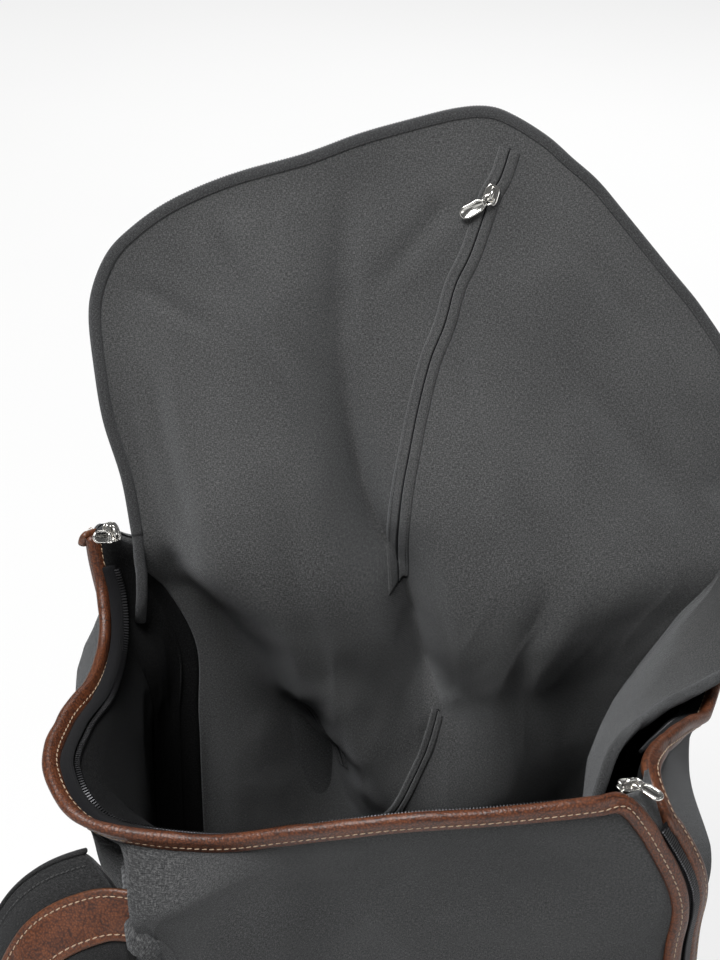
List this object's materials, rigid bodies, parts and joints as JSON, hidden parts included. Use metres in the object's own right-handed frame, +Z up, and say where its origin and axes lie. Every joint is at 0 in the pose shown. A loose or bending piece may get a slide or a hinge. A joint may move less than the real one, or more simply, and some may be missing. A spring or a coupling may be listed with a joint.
{
  "type": "travel backpack",
  "caption": "Soft fabric travel backpack with a wide zipped mouth, fold-back lid with inner zip pocket, leather piping, shoulder straps, lid handle and outer pocket.",
  "frame": {"origin": "centre of the base, on the ground plane", "axes": "+Z up, -Y towards the wearer's side with the shoulder straps, +Y towards the outer pocket; the lid folds about a line along X"},
  "size_m": [0.439, 0.3727, 0.6645],
  "materials": {
    "body_fabric": "charcoal melange plain weave, matt",
    "lining_fabric": "charcoal melange plain weave, matt",
    "leather_trim": "pebbled cognac leather, satin",
    "zip_tape": "black woven tape, matt",
    "zip_teeth": "dark metal teeth, satin",
    "silver_hardware": "polished silver-coloured cast metal",
    "foam": "fabric-laminated foam, matt",
    "webbing": "dark woven webbing, matt",
    "board": "black stiffener board, matt"
  },
  "bodies": {
    "root": {"back_panel": "body_fabric", "right_gusset": "body_fabric", "front_panel": "body_fabric", "left_gusset": "body_fabric", "back_foam": "foam", "base_panel": "body_fabric", "base_board": "board", "main_lining": "lining_fabric", "near_rim_piping": "leather_trim", "right_rim_piping": "leather_trim", "left_run_piping_outer": "leather_trim", "left_run_piping_side": "leather_trim", "near_zip_tape": "zip_tape", "near_zip_teeth": "zip_teeth", "right_zip_tape": "zip_tape", "right_zip_teeth": "zip_teeth", "right_run_tape": "zip_tape", "right_run_teeth": "zip_teeth", "left_run_tape": "zip_tape", "left_run_teeth": "zip_teeth", "right_zip_tab": "leather_trim", "left_zip_tab": "leather_trim", "outer_pocket": "body_fabric", "outer_pocket_zip_tape": "zip_tape", "outer_pocket_zip_teeth": "zip_teeth", "strap_anchor_top_left": "leather_trim", "strap_anchor_top_right": "leather_trim", "strap_anchor_low_left": "leather_trim", "strap_anchor_low_right": "leather_trim"},
    "lid": {"lid_panel": "body_fabric", "lid_lining": "lining_fabric", "lid_pocket_bag": "lining_fabric", "lid_edge_binding": "body_fabric", "lid_zip_tape": "zip_tape", "lid_zip_teeth": "zip_teeth", "lid_piping": "leather_trim", "lid_pocket_zip_tape": "zip_tape", "handle_patch_left": "leather_trim", "handle_patch_right": "leather_trim"},
    "handle": {"lid_handle": "leather_trim"},
    "lid_zip_slider": {"lid_pocket_slider": "silver_hardware"},
    "lid_zip_pull": {"lid_pocket_pull": "silver_hardware"},
    "left_zip_slider": {"left_slider": "silver_hardware"},
    "left_zip_pull": {"left_pull": "silver_hardware"},
    "right_zip_slider": {"right_slider": "silver_hardware"},
    "right_zip_pull": {"right_pull": "silver_hardware"},
    "pocket_zip_slider": {"outer_pocket_slider": "silver_hardware"},
    "pocket_zip_pull": {"outer_pocket_pull": "silver_hardware"},
    "strap_left": {"strap_pad_left": "body_fabric", "strap_leather_left": "leather_trim", "ladder_lock_left": "silver_hardware", "strap_webbing_left": "webbing"},
    "strap_right": {"strap_pad_right": "body_fabric", "strap_leather_right": "leather_trim", "ladder_lock_right": "silver_hardware", "strap_webbing_right": "webbing"}
  },
  "joints": [
    {"name": "lid_hinge", "type": "hinge", "parent": "root", "child": "lid", "pos_m": [0.01, 0.118, 0.428], "axis": [1, 0, 0], "range_deg": [-45, 98]},
    {"name": "handle_hinge", "type": "hinge", "parent": "lid", "child": "handle", "pos_m": [0.01, 0.1672, 0.53586], "axis": [1, 0, 0], "range_deg": [0, 160]},
    {"name": "lid_zip_slide", "type": "slide", "parent": "lid", "child": "lid_zip_slider", "axis": [-0.3385, -0.3016, -0.8913], "range_m": [0, 0.09]},
    {"name": "lid_zip_pull_hinge", "type": "hinge", "parent": "lid_zip_slider", "child": "lid_zip_pull", "pos_m": [0.05504, 0.17232, 0.62005], "axis": [-0.5016, 0.2786, 0.819], "range_deg": [0, 50]},
    {"name": "left_zip_slide", "type": "slide", "parent": "root", "child": "left_zip_slider", "axis": [0.2506, -0.3509, -0.9023], "range_m": [0, 0.02]},
    {"name": "left_zip_pull_hinge", "type": "hinge", "parent": "left_zip_slider", "child": "left_zip_pull", "pos_m": [-0.15749, 0.09124, 0.4454], "axis": [0.0209, 0.5268, 0.8498], "range_deg": [0, 10]},
    {"name": "right_zip_slide", "type": "slide", "parent": "root", "child": "right_zip_slider", "axis": [-0.9101, -0.2314, 0.3438], "range_m": [0, 0.03]},
    {"name": "right_zip_pull_hinge", "type": "hinge", "parent": "right_zip_slider", "child": "right_zip_pull", "pos_m": [0.11725, -0.08108, 0.41288], "axis": [-0.677, -0.7359, 0.0119], "range_deg": [0, 30]},
    {"name": "pocket_zip_slide", "type": "slide", "parent": "root", "child": "pocket_zip_slider", "axis": [-0.9931, 0.117, 0.0009], "range_m": [0, 0.18]},
    {"name": "pocket_zip_pull_hinge", "type": "hinge", "parent": "pocket_zip_slider", "child": "pocket_zip_pull", "pos_m": [0.09216, 0.13741, 0.24143], "axis": [-0.1257, -0.0039, 0.9921], "range_deg": [0, 120]},
    {"name": "strap_left_swing", "type": "hinge", "parent": "root", "child": "strap_left", "pos_m": [-0.112, -0.112, 0.341], "axis": [0.0875, -0.0454, 0.9951], "range_deg": [0, 40]},
    {"name": "strap_right_swing", "type": "hinge", "parent": "root", "child": "strap_right", "pos_m": [0.096, -0.115, 0.268], "axis": [0.1843, 0.0712, -0.9803], "range_deg": [0, 40]}
  ]
}
